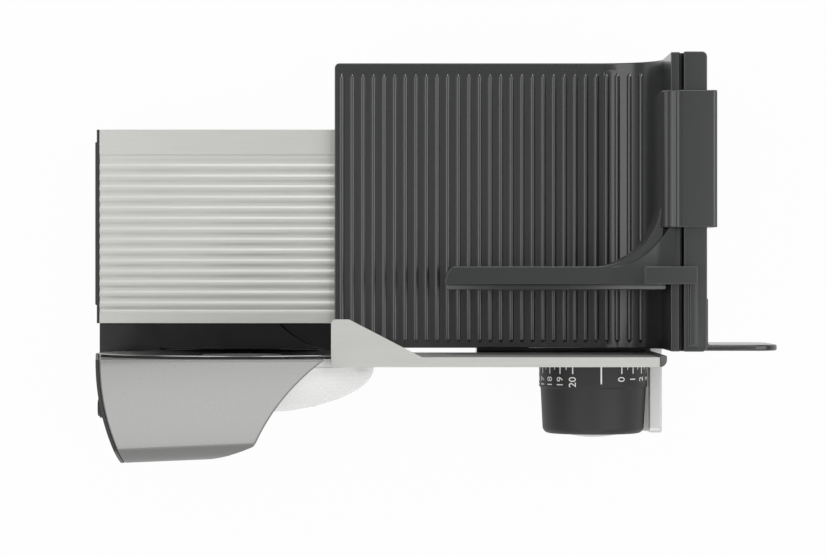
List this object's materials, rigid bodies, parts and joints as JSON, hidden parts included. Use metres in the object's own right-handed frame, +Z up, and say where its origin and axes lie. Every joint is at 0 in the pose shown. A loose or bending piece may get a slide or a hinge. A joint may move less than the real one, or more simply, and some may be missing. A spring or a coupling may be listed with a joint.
{
  "type": "electric food slicer",
  "caption": "Electric food slicer with a round blade, a ribbed sliding carriage, a remnant holder, a stop plate set by a numbered knob, and a slanted motor housing.",
  "frame": {"origin": "centre of the whole machine's outline, on the table under the rubber feet", "axes": "+X to the right along the carriage's travel, +Y away from the operator, +Z up"},
  "size_m": [0.398, 0.234, 0.216],
  "materials": {
    "base_plate": "satin",
    "front_arm": "satin",
    "motor_housing": "satin",
    "gear_case": "satin",
    "stop_plate": "satin",
    "blade": "polished",
    "black_body": "gloss",
    "black_trim": "satin",
    "carriage": "satin",
    "grey_trim": "satin",
    "pale_cap": "satin",
    "glide": "satin",
    "gear": "satin",
    "steel": "satin",
    "brass": "satin",
    "rubber": "matt"
  },
  "bodies": {
    "base": {"base_plate": "base_plate", "left_end_cap": "black_trim", "right_end_cap": "black_trim", "base_body": "black_body", "front_arm": "front_arm", "knob_housing": "black_body", "rubber_feet": "rubber", "cord_gland": "black_trim", "motor_housing": "motor_housing", "side_cover": "black_trim", "gear_case": "gear_case", "gear_plate": "steel", "blade_axle": "steel", "idler_pin": "steel", "motor_can": "steel", "motor_end_bell": "black_trim", "switch_body": "grey_trim", "spindle_bush": "brass"},
    "blade": {"blade": "blade", "blade_gear": "gear"},
    "lock": {"blade_lock": "black_trim"},
    "idler": {"idler_gear": "gear"},
    "motor": {"motor_rotor": "steel", "motor_pinion": "brass"},
    "button": {"switch_button": "black_trim"},
    "carriage": {"carriage": "carriage", "guide_shoe_left": "glide", "guide_shoe_right": "glide", "front_glide": "glide", "thumb_guard": "black_trim"},
    "holder": {"remnant_holder": "black_trim"},
    "plate": {"stop_plate": "stop_plate", "plate_end_cap": "grey_trim", "plate_carrier": "black_trim", "guide_rod_left": "steel", "guide_rod_right": "steel", "plate_yoke": "brass"},
    "knob": {"knob": "black_trim", "knob_cap": "pale_cap", "knob_spindle": "steel"}
  },
  "joints": [
    {"name": "blade_spin", "type": "hinge", "parent": "base", "child": "blade", "pos_m": [-0.108, -0.0535, 0.125], "axis": [0, -1, 0], "continuous": true},
    {"name": "lock_turn", "type": "hinge", "parent": "blade", "child": "lock", "pos_m": [-0.108, -0.0535, 0.125], "axis": [0, -1, 0], "range_deg": [0, 60]},
    {"name": "idler_spin", "type": "hinge", "parent": "base", "child": "idler", "pos_m": [-0.15114, -0.0535, 0.13848], "axis": [0, -1, 0], "continuous": true},
    {"name": "motor_spin", "type": "hinge", "parent": "base", "child": "motor", "pos_m": [-0.14422, -0.0535, 0.11529], "axis": [0, -1, 0], "continuous": true},
    {"name": "switch_press", "type": "slide", "parent": "base", "child": "button", "axis": [1, 0, 0], "range_m": [0, 0.0015], "stiffness_N_per_m": 600},
    {"name": "carriage_slide", "type": "slide", "parent": "base", "child": "carriage", "axis": [-1, 0, 0], "range_m": [0, 0.185]},
    {"name": "holder_slide", "type": "slide", "parent": "carriage", "child": "holder", "axis": [0, -1, 0], "range_m": [-0.02, 0.026]},
    {"name": "knob_turn", "type": "hinge", "parent": "base", "child": "knob", "pos_m": [0.099, -0.0535, 0.04], "axis": [0, -1, 0], "range_deg": [0, 330.8]},
    {"name": "plate_slide", "type": "slide", "parent": "base", "child": "plate", "axis": [0, -1, 0], "range_m": [0, 0.0215]}
  ],
  "couplings": [
    {"joint": "idler_spin", "follows": "blade_spin", "ratio": -5},
    {"joint": "motor_spin", "follows": "blade_spin", "ratio": 15},
    {"joint": "knob_turn", "follows": "plate_slide", "rad_per_m": 267.89}
  ]
}
